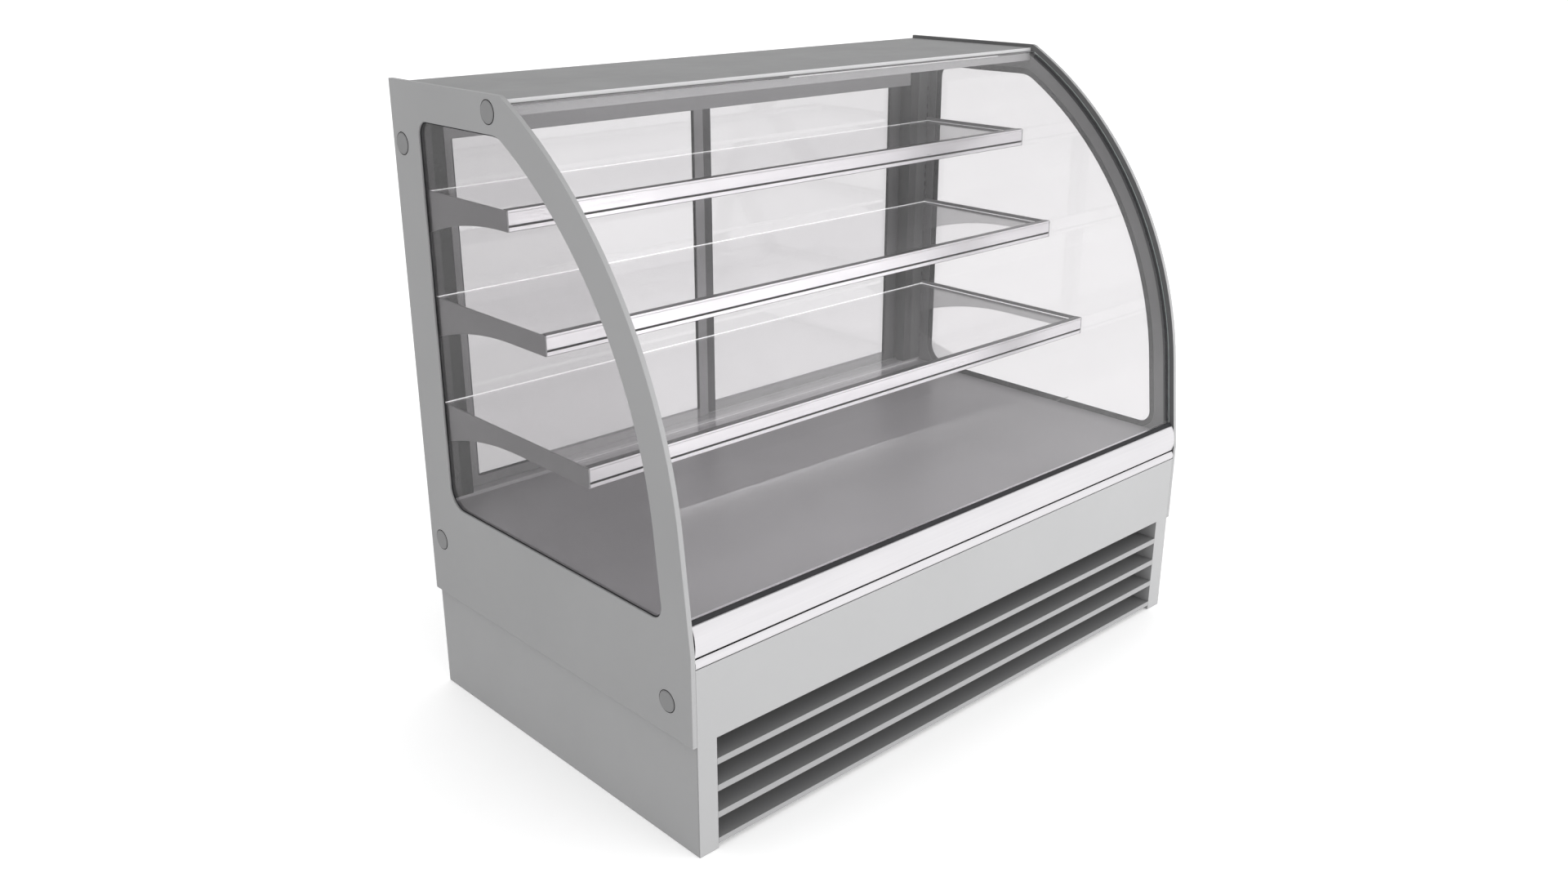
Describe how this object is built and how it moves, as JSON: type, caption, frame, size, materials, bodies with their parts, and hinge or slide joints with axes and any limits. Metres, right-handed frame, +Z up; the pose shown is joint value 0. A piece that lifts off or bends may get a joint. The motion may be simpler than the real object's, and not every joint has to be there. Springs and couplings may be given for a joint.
{
  "type": "bakery display case",
  "caption": "Free-standing curved-glass bakery display case: cold deck, three glass shelves in glazed ends, tilting front glass, sliding rear doors, louvred machine base",
  "frame": {"origin": "on the floor, under the middle of the case's footprint", "axes": "+X to the customer's right along the length, -Y towards the customer, +Y towards the server's side, +Z up"},
  "size_m": [1.487, 0.8661, 1.3],
  "materials": {
    "painted_side_metal": "satin neutral grey powder coat",
    "painted_front_metal": "satin light grey powder coat",
    "dark_frame_metal": "satin dark grey powder coat",
    "slat_metal": "satin mid grey powder coat",
    "galvanised_sheet": "dull zinc-coated sheet",
    "tub_plastic": "light grey moulded skin over foam",
    "deck_steel": "satin grey coated steel",
    "bright_aluminium": "satin anodised",
    "clear_glass": "clear polished",
    "black_rubber": "matt black",
    "milky_plastic": "milky white",
    "black_plastic": "matt black",
    "switch_plastic": "satin black",
    "plated_steel": "bright zinc plate",
    "copper_tube": "drawn copper",
    "coil_aluminium": "mill finish",
    "black_enamel": "black enamel"
  },
  "bodies": {
    "cabinet": {"base_pan": "galvanised_sheet", "compressor": "black_enamel", "compressor_mounts": "black_rubber", "compressor_terminal_cover": "black_plastic", "condensate_tray": "black_plastic", "condenser_coil": "coil_aluminium", "condenser_fan_motor": "black_enamel", "condenser_fan_shroud": "galvanised_sheet", "control_panel": "black_plastic", "cord_gland": "black_plastic", "deck_plate": "deck_steel", "end_panel_bolts": "plated_steel", "end_panel_caps": "slat_metal", "evaporator_coil": "copper_tube", "front_fascia": "painted_front_metal", "front_glass_bushes": "black_plastic", "front_sill": "bright_aluminium", "glass_edge_seals": "black_rubber", "grille_slats": "slat_metal", "insulated_well": "tub_plastic", "lamp_diffuser": "milky_plastic", "lamp_housing": "bright_aluminium", "left_base_side": "painted_side_metal", "left_end_panel": "painted_side_metal", "left_rear_upright": "dark_frame_metal", "left_shelf_brackets": "painted_side_metal", "left_side_glass": "clear_glass", "lower_shelf_glass": "clear_glass", "lower_shelf_rail": "bright_aluminium", "middle_shelf_glass": "clear_glass", "middle_shelf_rail": "bright_aluminium", "rear_header": "painted_side_metal", "rear_service_panel": "galvanised_sheet", "rear_sill": "painted_side_metal", "refrigerant_pipes": "copper_tube", "right_base_side": "painted_side_metal", "right_end_panel": "painted_side_metal", "right_rear_upright": "dark_frame_metal", "right_shelf_brackets": "painted_side_metal", "right_side_glass": "clear_glass", "side_glass_gaskets": "black_rubber", "top_glass_seal": "black_rubber", "top_panel": "painted_front_metal", "top_valance": "painted_side_metal", "upper_shelf_glass": "clear_glass", "upper_shelf_rail": "bright_aluminium"},
    "tilting_front": {"front_glass": "clear_glass", "front_glass_rail": "bright_aluminium", "front_glass_gasket": "black_rubber", "front_glass_pins": "plated_steel"},
    "left_rear_door": {"left_door_frame": "dark_frame_metal", "left_door_glass": "clear_glass", "left_door_glides": "black_plastic"},
    "right_rear_door": {"right_door_frame": "dark_frame_metal", "right_door_glass": "clear_glass", "right_door_glides": "black_plastic"},
    "condenser_fan_rotor": {"condenser_fan": "black_plastic"},
    "power_rocker": {"power_switch": "switch_plastic"},
    "light_rocker": {"light_switch": "switch_plastic"},
    "thermostat_dial": {"thermostat_knob": "switch_plastic"}
  },
  "joints": [
    {"name": "front_glass_tilt", "type": "hinge", "parent": "cabinet", "child": "tilting_front", "pos_m": [0, -0.414, 0.424], "axis": [1, 0, 0], "range_deg": [0, 30]},
    {"name": "left_door_slide", "type": "slide", "parent": "cabinet", "child": "left_rear_door", "axis": [1, 0, 0], "range_m": [0, 0.6]},
    {"name": "right_door_slide", "type": "slide", "parent": "cabinet", "child": "right_rear_door", "axis": [1, 0, 0], "range_m": [-0.6, 0]},
    {"name": "condenser_fan_spin", "type": "hinge", "parent": "cabinet", "child": "condenser_fan_rotor", "pos_m": [-0.06, -0.2, 0.13], "axis": [0, 1, 0], "continuous": true},
    {"name": "power_switch_rock", "type": "hinge", "parent": "cabinet", "child": "power_rocker", "pos_m": [0.48, 0.409, 0.35], "axis": [1, 0, 0], "range_deg": [0, 18]},
    {"name": "light_switch_rock", "type": "hinge", "parent": "cabinet", "child": "light_rocker", "pos_m": [0.522, 0.409, 0.35], "axis": [1, 0, 0], "range_deg": [0, 18]},
    {"name": "thermostat_turn", "type": "hinge", "parent": "cabinet", "child": "thermostat_dial", "pos_m": [0.59, 0.43, 0.35], "axis": [0, -1, 0], "range_deg": [0, 270]}
  ]
}
